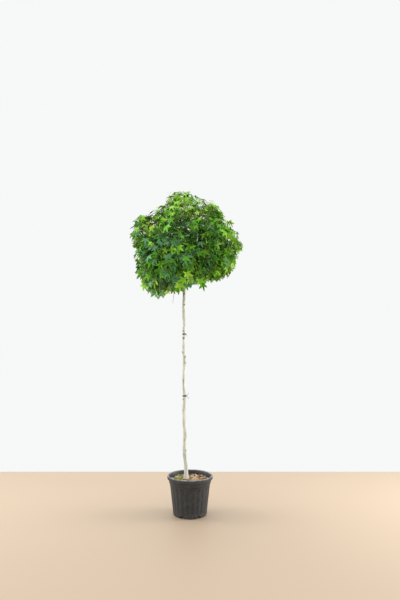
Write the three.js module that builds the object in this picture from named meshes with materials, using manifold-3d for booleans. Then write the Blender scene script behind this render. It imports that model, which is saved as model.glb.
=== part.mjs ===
// Round-headed sweetgum grown as a standard: a ball of star-shaped leaves on a clear stem, in a black pot.
// Millimetres, +Z up. The origin is the centre of the pot's flat underside, and the front faces -Y.
// The crown is built as the plant grows. Boughs leave a short leader in a spiral, and each carries one mass
// that keeps to its own wedge of the ball. The wedges meet in planes through the crown's centre.
import * as THREE from "three";
import { mergeVertices } from "three/addons/utils/BufferGeometryUtils.js";
import Module from "manifold-3d";

const wasm = await Module();
wasm.setup();

const GOLDEN_ANGLE = Math.PI * (3 - Math.sqrt(5)); // the turn from one leaf or bough to the next
const GAP = 0.3; // clearance between pieces that touch
const UP = new THREE.Vector3(0, 0, 1);
const EAST = new THREE.Vector3(1, 0, 0);

const pot = {
  height: 310,
  rimRadius: 180, // outside of the rolled lip
  lipHeight: 29,
  lipOverhang: 14.5,
  bandHeight: 26, // plain band under the lip
  wallTopRadius: 161, // outside, under the band
  wallFootRadius: 133.5,
  footRound: 13, // the curve from the wall into the underside
  wall: 3,
  flutes: 24,
  fluteDepth: 2,
  drains: 6,
  drainWidth: 24,
  drainHeight: 13,
  drainTurn: 2, // degrees from +X to the first drain notch
};

const soil = {
  level: 278, // the flat bed that the stem stands on
  edgeDrop: 5,
  flatRadius: 60,
  chips: 8,
  chipSize: 22,
};

const trunk = {
  footX: -30,
  topX: -48.5,
  swayHeight: 260, // over this height the foot's offset fades into the straight stem
  wander: 3, // side-to-side wave of the stem
  wanderPeriod: 275,
  wanderStart: -0.46,
  tip: 1942, // top of the leader inside the crown
  graft: 1790, // the swollen union under the first bough
  footRadius: 14.5,
  graftRadius: 11,
  tipRadius: 8,
  flare: 8, // extra radius at the root flare
  flareHeight: 30,
  graftSwelling: 8,
  sides: 10,
  rings: 30,
  knots: 6,
  knotRadius: 9,
};

const ties = {
  upperHeight: 1418,
  lowerHeight: 932,
  band: 9,
  thickness: 3.5,
  tailRadius: 2,
  tailLength: 34,
};

const crown = {
  centre: new THREE.Vector3(-35, 0, 2090),
  ball: 428, // reach of the leaf tips towards the front and the back
  masses: 10,
  lowestSine: -0.6, // the masses' directions start at this sine of elevation
  firstAzimuth: 215,
  forkLow: 1796,
  forkHigh: 1926,
  seeds: [500, 301, 352, 753, 754, 305, 106, 157, 358, 309], // one for each mass's twigs and leaves
  // Reach of the leaf tips in the outline seen from the front, every 15 degrees from the right side upwards.
  outline: [
    474, 442, 400, 414, 444, 434, 466, 460, 394, 392, 478, 466, //
    424, 427, 458, 476, 468, 374, 356, 326, 326, 380, 424, 434,
  ],
  // Twigs that fill the lumps of the outline: the angle seen from the front and the lean towards the back,
  // in degrees, and how far inside the outline they end.
  tufts: [
    [96, 3, 62], [56, -4, 42], [74, 12, 60], [108, 6, 45], [132, 4, 50], [152, 2, 42], [168, -8, 30],
    [188, 2, 45], [1, -4, 28], [16, 10, 42], [346, 4, 45], [226, 4, 50], [242, -8, 55], [210, 8, 55],
    [326, 0, 55],
  ],
  // Where the crown stands out farther on its front and back: degrees, and the extra reach in millimetres.
  bulges: [
    { name: "front hem", azimuth: -98, elevation: -45, extra: 20, spread: 22 },
    { name: "back shoulder", azimuth: 84, elevation: 34, extra: 44, spread: 22 },
    { name: "back hem", azimuth: 108, elevation: -38, extra: 30, spread: 22 },
  ],
};

const bough = { rootRadius: 8, sides: 6, rings: 4, reach: 0.76 };
const stem = { tipRadius: 2.6, sides: 4, rings: 3 };
const twig = {
  rootRadius: 4,
  tipRadius: 2.8,
  sides: 3,
  perMass: 7,
  leaves: 6,
  depths: [1, 0.86, 0.96],
};

// One leaf: the blade's length from palm to tip, its stalk, and the five lobes' angles and reaches.
const leaf = {
  length: 112,
  stalk: 42,
  stalkWidth: 2.6,
  neck: 0.2, // the stalk joins this share of the length behind the palm
  thickness: 3.2,
  dome: 14, // the palm stands this far above the lobes' tips
  lobes: [
    { angle: 0, reach: 1 },
    { angle: 52, reach: 0.95 },
    { angle: 106, reach: 0.7 },
  ],
  sinusReach: [0.5, 0.45],
  nodes: [0.98, 0.82, 0.66, 0.5, 0.34], // where leaves may leave a twig
  leans: [34, 70], // degrees between the twig and the leaf's stalk
  turns: [-0.6, 0, 0.6], // how far the blade swings sideways from its stalk
  droop: 0.9,
  rootVolume: 24, // the most of a leaf that may lie inside the wood, so that its blade is clear of it
};

const radians = THREE.MathUtils.degToRad;
const mix = THREE.MathUtils.lerp;

// Repeatable random numbers from 0 to 1.
function seeded(seed) {
  let state = seed >>> 0;
  return () => {
    state = (state + 0x6d2b79f5) >>> 0;
    let t = state;
    t = Math.imul(t ^ (t >>> 15), t | 1);
    t ^= t + Math.imul(t ^ (t >>> 7), t | 61);
    return ((t ^ (t >>> 14)) >>> 0) / 4294967296;
  };
}

function direction(azimuth, sine) {
  const level = Math.sqrt(1 - sine * sine);
  return new THREE.Vector3(level * Math.cos(azimuth), level * Math.sin(azimuth), sine);
}

// Closed solids

function toSolid(geometry) {
  const bare = geometry.index ? geometry.toNonIndexed() : geometry.clone();
  bare.deleteAttribute("normal");
  bare.deleteAttribute("uv");
  const merged = mergeVertices(bare, 1e-4);
  return new wasm.Manifold(
    new wasm.Mesh({
      numProp: 3,
      vertProperties: merged.attributes.position.array,
      triVerts: new Uint32Array(merged.index.array),
    }),
  );
}

function toGeometry(solid) {
  const mesh = solid.getMesh();
  const geometry = new THREE.BufferGeometry();
  geometry.setAttribute("position", new THREE.BufferAttribute(new Float32Array(mesh.vertProperties), 3));
  geometry.setIndex(new THREE.BufferAttribute(new Uint32Array(mesh.triVerts), 1));
  geometry.computeVertexNormals();
  return geometry;
}

// The largest closed body of a solid: scraps and sealed hollows are left behind.
function mainBody(solid) {
  return solid.decompose().reduce((best, body) => (body.volume() > best.volume() ? body : best));
}

// A tapering limb along a curve, with flat ends. radiusAt gives the radius at each share of the curve.
function limbGeometry(curve, radiusAt, sides, rings, from = 0, to = 1) {
  const points = [];
  const faces = [];
  for (let ring = 0; ring <= rings; ring++) {
    const share = mix(from, to, ring / rings);
    const along = curve.getTangent(share);
    const side = new THREE.Vector3().crossVectors(Math.abs(along.z) < 0.98 ? UP : EAST, along).normalize();
    const across = new THREE.Vector3().crossVectors(along, side);
    for (let i = 0; i < sides; i++) {
      const turn = (i / sides) * Math.PI * 2;
      const place = curve
        .getPoint(share)
        .addScaledVector(side, Math.cos(turn) * radiusAt(share))
        .addScaledVector(across, Math.sin(turn) * radiusAt(share));
      points.push(place.x, place.y, place.z);
      const [a, b] = [ring * sides + i, ring * sides + ((i + 1) % sides)];
      if (ring < rings) faces.push(a, b, b + sides, a, b + sides, a + sides);
    }
  }
  const last = rings * sides;
  for (let i = 1; i < sides - 1; i++) faces.push(0, i + 1, i, last, last + i, last + i + 1);
  const geometry = new THREE.BufferGeometry();
  geometry.setAttribute("position", new THREE.BufferAttribute(new Float32Array(points), 3));
  geometry.setIndex(faces);
  return geometry;
}

// A line of straight lengths, each an equal share of the whole.
class Rod extends THREE.Curve {
  constructor(points) {
    super();
    this.points = points;
  }

  getPoint(share, target = new THREE.Vector3()) {
    const lengths = this.points.length - 1;
    const k = Math.min(Math.floor(share * lengths), lengths - 1);
    return target.lerpVectors(this.points[k], this.points[k + 1], share * lengths - k);
  }
}

// Pot and growing medium

// Outside radius of the wall at a height, under the band.
function wallRadius(z) {
  const top = pot.height - pot.lipHeight - pot.bandHeight;
  return mix(pot.wallFootRadius, pot.wallTopRadius, Math.max(0, z - pot.footRound) / (top - pot.footRound));
}

// Inside radius of the wall at a height.
function boreRadius(z) {
  return wallRadius(z) - pot.fluteDepth - pot.wall;
}

function potGeometry() {
  const lipFoot = pot.height - pot.lipHeight;
  const bandFoot = lipFoot - pot.bandHeight;
  const bandRadius = pot.rimRadius - pot.lipOverhang;
  const foot = pot.wallFootRadius - pot.footRound;
  const profile = [
    [0, 0],
    [foot, 0],
    [foot + pot.footRound * Math.SQRT1_2, pot.footRound * (1 - Math.SQRT1_2)],
    [wallRadius(0), pot.footRound],
    [wallRadius(22), 22],
    [wallRadius(bandFoot - 12), bandFoot - 12],
    [pot.wallTopRadius, bandFoot],
    [bandRadius - 1, bandFoot + 3],
    [bandRadius, lipFoot],
    [pot.rimRadius, lipFoot + pot.lipHeight * 0.4],
    [pot.rimRadius - 3, pot.height - 2],
    [pot.rimRadius - 8, pot.height],
    [boreRadius(bandFoot) + 9, pot.height - 6],
    [boreRadius(bandFoot), bandFoot],
    [boreRadius(pot.footRound), pot.footRound],
    [boreRadius(0) - pot.footRound * 0.5, pot.wall + 1],
    [0, pot.wall + 1],
  ].map(([r, z]) => new THREE.Vector2(r, z));
  const geometry = new THREE.LatheGeometry(profile, pot.flutes * 2);
  geometry.rotateX(Math.PI / 2);
  // Every other line of the outer wall is pressed in, between the foot and the band.
  const position = geometry.attributes.position;
  for (let i = 0; i < position.count; i++) {
    const [x, y, z] = [position.getX(i), position.getY(i), position.getZ(i)];
    const radius = Math.hypot(x, y);
    const line = Math.round((Math.atan2(y, x) / Math.PI) * pot.flutes);
    const onWall = z > 20 && z < bandFoot - 6 && radius > wallRadius(z) - 1;
    if (onWall && line % 2) {
      const pressed = (radius - pot.fluteDepth) / radius;
      position.setXY(i, x * pressed, y * pressed);
    }
  }
  return geometry;
}

function potSolid() {
  let solid = toSolid(potGeometry());
  for (let i = 0; i < pot.drains; i++) {
    const notch = new THREE.BoxGeometry(28, pot.drainWidth, pot.drainHeight + 10);
    notch.translate(pot.wallFootRadius, 0, pot.drainHeight - (pot.drainHeight + 10) / 2);
    notch.rotateZ(radians(pot.drainTurn) + (i / pot.drains) * Math.PI * 2);
    solid = solid.subtract(toSolid(notch));
  }
  return solid;
}

function soilSolid() {
  const floor = pot.wall + 1 + GAP;
  const edge = soil.level - soil.edgeDrop;
  const profile = [
    [0, floor],
    [boreRadius(0) - pot.footRound * 0.5 - 2, floor],
    [boreRadius(pot.footRound) - 1, pot.footRound + 1],
    [boreRadius(edge) - 0.6, edge],
    [soil.flatRadius, soil.level],
    [0, soil.level],
  ].map(([r, z]) => new THREE.Vector2(r, z));
  const bed = new THREE.LatheGeometry(profile, pot.flutes);
  bed.rotateX(Math.PI / 2);
  const random = seeded(11);
  // Chips of bark lie on the bed, in a spiral that leaves the stem and the wall clear.
  const chips = Array.from({ length: soil.chips }, (_, i) => {
    const radius = mix(44, boreRadius(edge) - soil.chipSize, Math.sqrt((i + 0.5) / soil.chips));
    const chip = new THREE.BoxGeometry(soil.chipSize * mix(0.7, 1.2, random()), soil.chipSize * 0.55, 7);
    chip.rotateX(mix(-0.3, 0.3, random()));
    chip.rotateZ(random() * Math.PI);
    const height = mix(soil.level, edge, radius / boreRadius(edge)) + 1;
    chip.translate(radius * Math.cos(i * GOLDEN_ANGLE), radius * Math.sin(i * GOLDEN_ANGLE), height);
    return toSolid(chip);
  });
  return mainBody(wasm.Manifold.union([toSolid(bed), ...chips]));
}

// Stem and ties

// The stem's centreline: the foot stands right of the straight stem and bends into it, with a slight wander.
class StemCurve extends THREE.Curve {
  getPoint(share, target = new THREE.Vector3()) {
    const rise = share * (trunk.tip - soil.level);
    const fade = Math.exp(-rise / trunk.swayHeight);
    const turn = (rise / trunk.wanderPeriod) * Math.PI * 2 + trunk.wanderStart;
    const x = trunk.topX + (trunk.footX - trunk.topX) * fade + trunk.wander * Math.sin(turn);
    const y = trunk.wander * Math.sin(turn * 0.7) * (1 - fade);
    return target.set(x, y, soil.level + rise);
  }
}

const stemCurve = new StemCurve();
const stemShare = (z) => (z - soil.level) / (trunk.tip - soil.level);

function stemRadius(share) {
  const z = mix(soil.level, trunk.tip, share);
  const graft = stemShare(trunk.graft);
  const taper =
    share < graft
      ? mix(trunk.footRadius, trunk.graftRadius, share / graft)
      : mix(trunk.graftRadius, trunk.tipRadius, (share - graft) / (1 - graft));
  const flare = trunk.flare * Math.exp(-(z - soil.level) / trunk.flareHeight);
  const union = trunk.graftSwelling * Math.exp(-(((z - trunk.graft - 20) / 42) ** 2));
  return taper + flare + union;
}

// The stem, grown by a little all round where it is used to cut what fits against it.
function trunkSolid(grown = 0) {
  const foot = soil.level + GAP;
  const start = stemShare(foot - 8);
  const rod = limbGeometry(stemCurve, (t) => stemRadius(t) + grown, trunk.sides, trunk.rings, start, 1);
  const ground = new THREE.BoxGeometry(200, 200, 60);
  ground.translate(trunk.footX, 0, foot - 30);
  const random = seeded(5);
  const knots = Array.from({ length: trunk.knots }, (_, i) => {
    const z = mix(trunk.graft - 60, soil.level + 150, (i + random() * 0.7) / trunk.knots);
    const share = stemShare(z);
    const knot = new THREE.OctahedronGeometry(trunk.knotRadius + grown, 0);
    knot.scale(1, 1, 1.5);
    const place = stemCurve
      .getPoint(share)
      .addScaledVector(direction(i * GOLDEN_ANGLE, 0), stemRadius(share) - trunk.knotRadius * 0.35);
    knot.translate(place.x, place.y, place.z);
    return toSolid(knot);
  });
  return mainBody(wasm.Manifold.union([toSolid(rod), ...knots]).subtract(toSolid(ground)));
}

// A soft tie: a band round the stem with its knotted tails standing out to the right.
function tieSolid(height, tails, trunkCut) {
  const share = stemShare(height);
  const centre = stemCurve.getPoint(share);
  const band = new THREE.CylinderGeometry(1, 1, ties.band, 12);
  band.rotateX(Math.PI / 2);
  band.scale(stemRadius(share) + ties.thickness, stemRadius(share) + ties.thickness, 1);
  band.translate(centre.x, centre.y, height);
  const loose = tails.map((angle) => {
    const tail = new THREE.CylinderGeometry(ties.tailRadius * 0.7, ties.tailRadius, ties.tailLength, 5);
    tail.translate(0, ties.tailLength / 2, 0);
    tail.rotateZ(-Math.PI / 2);
    tail.rotateY(-radians(angle));
    tail.translate(centre.x + stemRadius(share), centre.y - 3, height);
    return toSolid(tail);
  });
  return mainBody(wasm.Manifold.union([toSolid(band), ...loose]).subtract(trunkCut));
}

// Crown

const massDirections = Array.from({ length: crown.masses }, (_, i) =>
  direction(
    radians(crown.firstAzimuth) + i * GOLDEN_ANGLE,
    mix(crown.lowestSine, 1, (i + 0.5) / crown.masses),
  ),
);

const bulges = crown.bulges.map((b) => ({
  ...b,
  towards: direction(radians(b.azimuth), Math.sin(radians(b.elevation))),
}));

// How far the leaf tips reach from the crown's centre in a direction. The outline seen from the front fades
// into the ball towards the front and the back.
function crownReach(towards) {
  const count = crown.outline.length;
  const turn = ((Math.atan2(towards.z, towards.x) / (2 * Math.PI) + 1) % 1) * count;
  const [from, to] = [crown.outline[Math.floor(turn) % count], crown.outline[Math.ceil(turn) % count]];
  const seen = mix(from, to, THREE.MathUtils.smoothstep(turn % 1, 0, 1));
  return bulges.reduce(
    (reach, b) => {
      const angle = THREE.MathUtils.radToDeg(towards.angleTo(b.towards));
      return reach + b.extra * Math.exp(-((angle / b.spread) ** 2));
    },
    mix(crown.ball, seen, 1 - towards.y ** 2),
  );
}

// Where the twigs end: places dealt out evenly over the ball. The nearest to each tuft is moved to it.
const twigWays = Array.from({ length: crown.masses * twig.perMass }, (_, i) =>
  direction(2.3 + i * GOLDEN_ANGLE, mix(-0.93, 1, (i + 0.5) / (crown.masses * twig.perMass))),
);
const tuftRooms = new Map(
  crown.tufts.map(([angle, lean, room]) => {
    const towards = direction(0, 0).applyAxisAngle(UP, radians(lean));
    towards.applyAxisAngle(new THREE.Vector3(0, -1, 0), radians(angle));
    const away = twigWays.map((way) => way.angleTo(towards));
    const nearest = away.indexOf(Math.min(...away));
    twigWays[nearest] = towards;
    return [nearest, room];
  }),
);

// Each twig belongs to the mass whose direction is nearest.
const twigEnds = twigWays.map((towards, i) => {
  const nearness = massDirections.map((d) => d.dot(towards));
  const room = leaf.length * mix(0.8, 0.3, Math.max(0, towards.z) ** 2);
  const reach = tuftRooms.has(i)
    ? crownReach(towards) - tuftRooms.get(i)
    : (crownReach(towards) - room) * twig.depths[i % twig.depths.length];
  return { towards, reach, mass: nearness.indexOf(Math.max(...nearness)) };
});

// True if a point lies in a mass's own wedge, by a margin.
function inWedge(mass, point, margin) {
  const out = point.clone().sub(crown.centre);
  return massDirections.every((other, j) => {
    if (j === mass) return true;
    const apart = massDirections[mass].clone().sub(other);
    return out.dot(apart) / apart.length() > margin;
  });
}

// The whole line of bough and stem to one mass, from inside the leader to near the outline.
function boughCurve(mass) {
  const share = (mass + 0.5) / crown.masses;
  const root = stemCurve.getPoint(stemShare(mix(crown.forkLow, crown.forkHigh, share)));
  const towards = massDirections[mass];
  const azimuth = Math.atan2(towards.y, towards.x);
  const rise = radians(mix(20, 72, share));
  const end = crown.centre.clone().addScaledVector(towards, crownReach(towards) * bough.reach);
  const length = end.distanceTo(root);
  const leaving = direction(azimuth, Math.sin(rise));
  const arriving = towards.clone().addScaledVector(UP, 0.35).normalize();
  return new THREE.CubicBezierCurve3(
    root,
    root.clone().addScaledVector(leaving, length * 0.36),
    end.clone().addScaledVector(arriving, -length * 0.3),
    end,
  );
}

const limbRadius = (share) => mix(bough.rootRadius, stem.tipRadius, share ** 0.8);

// The share of the line at which it enters its own wedge for good, which is where the bough ends.
function entryShare(mass, curve) {
  const steps = 60;
  let entry = 0.3;
  for (let i = 0; i <= steps; i++) {
    const inside = inWedge(mass, curve.getPoint(i / steps), limbRadius(i / steps) + 1);
    if (!inside) entry = Math.max(entry, (i + 1) / steps);
  }
  return Math.min(entry, 0.7);
}

// Corners of the blade's edge, pointing along +X from the palm: from the neck round the tip and back.
const bladeEdge = (() => {
  const at = (angle, reach, side) => [
    Math.cos(radians(angle)) * reach * leaf.length,
    side * Math.sin(radians(angle)) * reach * leaf.length,
    -leaf.dome * reach,
  ];
  const half = (side) =>
    leaf.lobes.flatMap((lobe, i) => {
      if (i === 0) return side > 0 ? [at(lobe.angle, lobe.reach, side)] : [];
      const notch = (lobe.angle + leaf.lobes[i - 1].angle) / 2;
      return [at(notch, leaf.sinusReach[i - 1], side), at(lobe.angle, lobe.reach, side)];
    });
  const neck = (side) => [-leaf.neck * leaf.length, (side * leaf.stalkWidth) / 2, 0];
  return [neck(-1), ...half(-1).reverse(), ...half(1), neck(1)];
})();
const bladeTop = [0, 0, leaf.thickness * 0.3];
const neckKeel = [-leaf.neck * leaf.length, 0, -leaf.stalkWidth];

const leafFaces = (() => {
  const last = bladeEdge.length - 1;
  const [top, keel, rootRight, rootLeft, rootKeel] = [1, 2, 3, 4, 5].map((i) => last + i);
  const faces = [top, last, 0, 0, last, rootLeft, 0, rootLeft, rootRight];
  for (let i = 0; i < last; i++) faces.push(top, i, i + 1, keel, i + 1, i);
  faces.push(last, keel, rootKeel, last, rootKeel, rootLeft, 0, rootRight, rootKeel, 0, rootKeel, keel);
  faces.push(rootLeft, rootKeel, rootRight);
  return faces;
})();

// A leaf's corners: its stalk runs from the root, and its blade tips over from there, facing the sky.
function leafCorners(root, stalkWay, tipWay, sky, size) {
  const face = sky.clone().addScaledVector(tipWay, -sky.dot(tipWay)).normalize();
  const side = new THREE.Vector3().crossVectors(face, tipWay);
  const neck = root.clone().addScaledVector(stalkWay, leaf.stalk * size);
  const palm = neck.clone().addScaledVector(tipWay, leaf.neck * leaf.length * size);
  const blade = [...bladeEdge, bladeTop, neckKeel].map(([x, y, z]) =>
    palm
      .clone()
      .addScaledVector(tipWay, x * size)
      .addScaledVector(side, y * size)
      .addScaledVector(face, z * size),
  );
  const above = new THREE.Vector3().crossVectors(stalkWay, side).normalize();
  const beside = new THREE.Vector3().crossVectors(above, stalkWay);
  const half = leaf.stalkWidth / 2;
  const foot = [
    root.clone().addScaledVector(beside, -half).addScaledVector(above, half * 0.6),
    root.clone().addScaledVector(beside, half).addScaledVector(above, half * 0.6),
    root.clone().addScaledVector(above, -half * 1.2),
  ];
  return { corners: [...blade, ...foot], palm };
}

function leafSolid({ corners }) {
  const geometry = new THREE.BufferGeometry();
  const places = new Float32Array(corners.flatMap((c) => c.toArray()));
  geometry.setAttribute("position", new THREE.BufferAttribute(places, 3));
  geometry.setIndex(leafFaces);
  return toSolid(geometry);
}

// The leaves that one twig could carry: on each of its sides at each node, tipping over outwards and down.
function possibleLeaves(path, sides, random) {
  const found = [];
  for (const share of leaf.nodes) {
    const root = path.getPoint(share);
    const along = path.getTangent(share);
    const out = root.clone().sub(crown.centre).normalize();
    const side = new THREE.Vector3().crossVectors(Math.abs(along.z) < 0.98 ? UP : EAST, along).normalize();
    const across = new THREE.Vector3().crossVectors(along, side);
    for (let k = 0; k < sides; k++) {
      const around = ((k + 0.5) / sides) * Math.PI * 2;
      const away = side.clone().multiplyScalar(Math.cos(around)).addScaledVector(across, Math.sin(around));
      const beside = new THREE.Vector3().crossVectors(along, away);
      const foot = root.clone().addScaledVector(along, (random() - 0.5) * 6);
      for (const lean of leaf.leans.map(radians)) {
        const stalkWay = along.clone().multiplyScalar(Math.cos(lean)).addScaledVector(away, Math.sin(lean));
        for (const turn of leaf.turns) {
          const tipWay = stalkWay
            .clone()
            .addScaledVector(beside, turn + random() * 0.3)
            .addScaledVector(UP, -leaf.droop * (0.6 + random() * 0.7))
            .normalize();
          const sky = UP.clone().addScaledVector(out, 0.9 + random() * 0.5);
          found.push(leafCorners(foot, stalkWay, tipWay, sky, mix(0.86, 1.06, random())));
        }
      }
    }
  }
  return found;
}

// A leaf stays in its mass's wedge and inside the crown's outline.
function leafFits(mass, { corners }) {
  return corners.every((p) => {
    const out = p.clone().sub(crown.centre);
    return inWedge(mass, p, 1) && out.length() < crownReach(out.clone().normalize());
  });
}

// The better leaf stands farther from the leaves already there and comes nearer to the outline.
function leafMerit({ corners, palm }, palms) {
  const room = Math.min(leaf.length, ...palms.map((other) => other.distanceTo(palm)));
  const shares = corners.map((p) => {
    const out = p.clone().sub(crown.centre);
    return out.length() / crownReach(out.clone().normalize());
  });
  return room + leaf.length * 1.5 * Math.max(...shares);
}

// One mass: a stem that takes over from its bough, twigs that leave it for their own places, and leaves.
// Each leaf takes the place farthest from the leaves already there, where it crosses neither leaf nor twig.
function massSolid(mass, curve, entry, keepOff) {
  const random = seeded(crown.seeds[mass]);
  const towards = massDirections[mass];
  const start = entry + GAP / curve.getLength();
  const joints = Array.from({ length: stem.rings + 1 }, (_, i) => mix(start, 1, i / stem.rings));
  const stemLine = new Rod(joints.map((share) => curve.getPoint(share)));
  const stemRadiusAt = (share) => limbRadius(mix(start, 1, share));
  const wood = [toSolid(limbGeometry(stemLine, stemRadiusAt, stem.sides, stem.rings))];
  const paths = [];
  twigEnds
    .filter((end) => end.mass === mass)
    .forEach((end) => {
      const away = towards.angleTo(end.towards) / radians(44);
      const root = mix(0.94, 0.12, Math.min(1, away)) + (random() - 0.5) * 0.04;
      const from = stemLine.getPoint(root);
      for (const pull of [0, 0.15, 0.3, 0.45]) {
        const aim = end.towards.clone().lerp(towards, pull).normalize();
        const tip = crown.centre.clone().addScaledVector(aim, end.reach);
        const bend = from.distanceTo(tip) * 0.1;
        const elbow = from.clone().lerp(tip, 0.5).addScaledVector(stemLine.getTangent(root), bend);
        const path = new Rod([from, elbow, tip]);
        if (![elbow, tip].every((p) => inWedge(mass, p, 5))) continue;
        const radiusAt = (share) => mix(twig.rootRadius, twig.tipRadius, share);
        const solid = toSolid(limbGeometry(path, radiusAt, twig.sides, 2));
        if (keepOff.intersect(solid).volume() > 0) continue;
        wood.push(solid);
        paths.push(path);
        break;
      }
    });
  paths.push(stemLine);
  const limb = wasm.Manifold.union(wood);
  let leaves = null;
  const palms = [];
  for (let round = 0; round < twig.leaves; round++) {
    for (const path of paths) {
      const choice = possibleLeaves(path, path === stemLine ? stem.sides : twig.sides, random)
        .filter((one) => leafFits(mass, one))
        .map((one) => ({ ...one, merit: leafMerit(one, palms) }))
        .sort((a, b) => b.merit - a.merit);
      for (const one of choice) {
        const solid = leafSolid(one);
        if (leaves && leaves.intersect(solid).volume() > 0) continue;
        if (limb.intersect(solid).volume() > leaf.rootVolume) continue;
        if (keepOff.intersect(solid).volume() > 0) continue;
        leaves = leaves ? leaves.add(solid) : solid;
        palms.push(one.palm);
        break;
      }
    }
  }
  return mainBody(limb.add(leaves));
}

// Materials

const materials = {
  pot: new THREE.MeshStandardMaterial({ color: 0x33342f, roughness: 0.62, metalness: 0 }),
  soil: new THREE.MeshStandardMaterial({ color: 0x7a5335, roughness: 0.95, metalness: 0 }),
  bark: new THREE.MeshStandardMaterial({ color: 0xb5ad94, roughness: 0.85, metalness: 0 }),
  tie: new THREE.MeshStandardMaterial({ color: 0x2f2c24, roughness: 0.6, metalness: 0 }),
  leaf: new THREE.MeshStandardMaterial({ color: 0x4f7d2b, roughness: 0.5, metalness: 0 }),
};

const tree = new THREE.Group();

function addPiece(name, solid, material) {
  const mesh = new THREE.Mesh(toGeometry(solid), material);
  mesh.name = name;
  tree.add(mesh);
}

addPiece("pot", potSolid(), materials.pot);
addPiece("growing_medium", soilSolid(), materials.soil);
addPiece("trunk", trunkSolid(), materials.bark);

const trunkCut = trunkSolid(GAP);
addPiece("tie_upper", tieSolid(ties.upperHeight, [-38], trunkCut), materials.tie);
addPiece("tie_lower", tieSolid(ties.lowerHeight, [40, -42], trunkCut), materials.tie);

const curves = massDirections.map((_, i) => boughCurve(i));
const entries = curves.map((curve, i) => entryShare(i, curve));
const boughSolid = (curve, i, grown) =>
  toSolid(limbGeometry(curve, (t) => limbRadius(t) + grown, bough.sides, bough.rings, 0, entries[i]));

curves.forEach((curve, i) => {
  addPiece(`bough_${i + 1}`, mainBody(boughSolid(curve, i, 0).subtract(trunkCut)), materials.bark);
});

const keepOff = wasm.Manifold.union([trunkSolid(3), ...curves.map((curve, i) => boughSolid(curve, i, 3))]);
curves.forEach((curve, i) => {
  addPiece(`foliage_${i + 1}`, massSolid(i, curve, entries[i], keepOff), materials.leaf);
});

export default tree;
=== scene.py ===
# Gumball sweetgum grown as a standard, in a black nursery pot. Metres, +Z up, front towards -Y.
# The crown repeats the source's growth rule, carried on to shoots with life-size leaves.
import bpy
import bmesh
import math
import random
import numpy as np
from mathutils import Euler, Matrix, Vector, noise


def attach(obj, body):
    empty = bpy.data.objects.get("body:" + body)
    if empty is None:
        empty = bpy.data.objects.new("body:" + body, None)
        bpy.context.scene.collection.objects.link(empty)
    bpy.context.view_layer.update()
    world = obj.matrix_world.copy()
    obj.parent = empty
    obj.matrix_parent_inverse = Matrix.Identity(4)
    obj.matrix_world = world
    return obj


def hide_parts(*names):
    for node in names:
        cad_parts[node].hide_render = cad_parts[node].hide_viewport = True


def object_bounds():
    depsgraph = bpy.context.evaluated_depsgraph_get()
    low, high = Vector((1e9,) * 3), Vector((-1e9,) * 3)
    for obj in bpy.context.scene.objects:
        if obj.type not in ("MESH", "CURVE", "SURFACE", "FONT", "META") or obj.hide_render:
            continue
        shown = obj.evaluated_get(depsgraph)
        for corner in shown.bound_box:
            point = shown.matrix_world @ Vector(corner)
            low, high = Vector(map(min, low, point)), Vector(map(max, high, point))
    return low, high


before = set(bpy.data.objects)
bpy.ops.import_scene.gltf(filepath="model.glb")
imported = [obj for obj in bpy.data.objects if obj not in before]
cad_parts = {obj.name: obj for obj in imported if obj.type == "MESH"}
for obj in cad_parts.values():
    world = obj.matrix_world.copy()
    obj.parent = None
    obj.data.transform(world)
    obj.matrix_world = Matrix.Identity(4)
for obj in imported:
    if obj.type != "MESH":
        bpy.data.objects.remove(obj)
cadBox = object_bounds()
print("frame loaded")

up = Vector((0, 0, 1))
east = Vector((1, 0, 0))
goldenAngle = math.pi * (3 - math.sqrt(5))
mm = 0.001


def mix(a, b, share):
    return a + (b - a) * share


def clamp(value):
    return min(1, max(0, value))


def polar(angle, radius):
    turn = math.radians(angle)
    return radius * math.cos(turn), radius * math.sin(turn)


# camera and light

view = {"lens": 35, "distance": 4.594, "height": 1.505, "shiftX": 10 / 600, "shiftY": 23 / 600}
studio = {
    "air": "#F7F8F8", "airStrength": 1, "floor": "#BEA991", "floorBack": 1.31, "floorSize": (14, 9),
    # place, aim, width and power of each softbox
    "boxes": {"overhead": ((-0.3, 0.6, 5.2), (0, 0, 2), 2.4, 70),
              "leftSide": ((-3.4, 0.4, 2.3), (0, 0, 1.9), 2.0, 70),
              "rightSide": ((3.4, 0.2, 1.7), (0, 0, 1.9), 2.0, 90)},
}


def toLinear(hexColour):
    parts = [int(hexColour[i:i + 2], 16) / 255 for i in (1, 3, 5)]
    return tuple(((p + 0.055) / 1.055) ** 2.4 if p > 0.04045 else p / 12.92 for p in parts) + (1,)


# an input by its name, or by its number as in i7
def inputOf(node, key):
    return node.inputs[int(key[1:])] if key[1:].isdigit() else node.inputs.get(key)


# links a socket, or else a node's first live output, to an input
def link(source, node, key):
    if not isinstance(source, bpy.types.NodeSocket):
        source = next(socket for socket in source.outputs if socket.enabled)
    node.id_data.links.new(source, inputOf(node, key))


# adds a node with its settings and links; hex colours are made linear, stops are those of a ramp,
# and a range is the values from and to, each lower and upper
def addNode(material, kind, settings=None, **links):
    node = material.node_tree.nodes.new("ShaderNode" + kind)
    for key, value in (settings or {}).items():
        socket = inputOf(node, key)
        if key == "stops":
            for k, (place, tone) in enumerate(value):
                stop = node.color_ramp.elements[k] if k < 2 else node.color_ramp.elements.new(place)
                stop.position, stop.color = place, toLinear(tone)
        elif key == "range":
            for socket, level in zip(node.inputs[1:], value):
                socket.default_value = level
        elif socket is None:
            setattr(node, key, value)
        else:
            socket.default_value = toLinear(value) if isinstance(value, str) else value
    for key, source in links.items():
        link(source, node, key)
    return node


def newMaterial(name, roughness, **settings):
    material = bpy.data.materials.new(name)
    material.use_nodes = True
    shader = material.node_tree.nodes["Principled BSDF"]
    shader.inputs["Roughness"].default_value = roughness
    for key, value in settings.items():
        shader.inputs[key.replace("_", " ")].default_value = value
    return material, shader


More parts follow.
